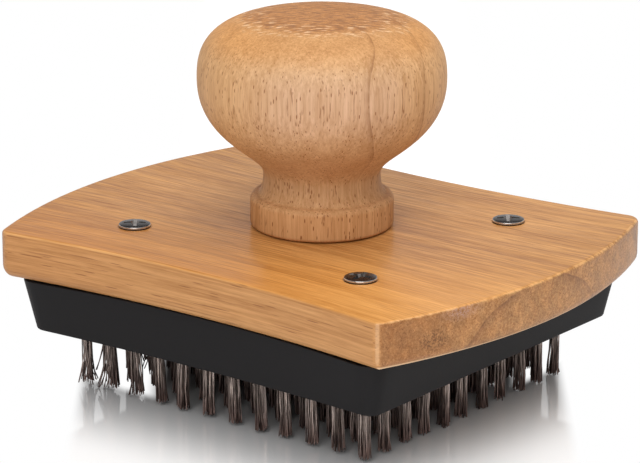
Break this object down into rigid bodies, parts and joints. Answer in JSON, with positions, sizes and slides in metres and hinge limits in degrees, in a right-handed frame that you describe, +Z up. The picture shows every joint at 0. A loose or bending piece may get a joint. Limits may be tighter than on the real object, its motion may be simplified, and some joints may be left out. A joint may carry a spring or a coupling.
{
  "type": "stone cleaning brush",
  "caption": "Stone cleaning brush: a turned wooden knob on a bowed wooden board, screwed to a tapered black block with rows of short steel wire tufts.",
  "frame": {"origin": "middle of the plane that the wire tips stand on, under the knob's axis", "axes": "+Z up through the knob, +X along the board's long sides towards one bowed end, +Y across the board"},
  "size_m": [0.1444, 0.112, 0.0976],
  "materials": {
    "board_wood": "satin lacquered pale wood, grain along the long sides",
    "knob_wood": "satin lacquered pale wood, grain up the knob",
    "black_plastic": "matte black",
    "screw_steel": "bright nickel plated",
    "steel_wire": "dark drawn wire"
  },
  "bodies": {
    "root": {"board": "board_wood", "knob": "knob_wood", "brush_block": "black_plastic", "knob_screw": "screw_steel", "board_screw_front": "screw_steel", "board_screw_right": "screw_steel", "board_screw_left": "screw_steel", "board_screw_back": "screw_steel", "tuft_row_01": "steel_wire", "tuft_row_02": "steel_wire", "tuft_row_03": "steel_wire", "tuft_row_04": "steel_wire", "tuft_row_05": "steel_wire", "tuft_row_06": "steel_wire", "tuft_row_07": "steel_wire", "tuft_row_08": "steel_wire", "tuft_row_09": "steel_wire", "tuft_row_10": "steel_wire", "tuft_row_11": "steel_wire", "tuft_row_12": "steel_wire"}
  },
  "joints": []
}
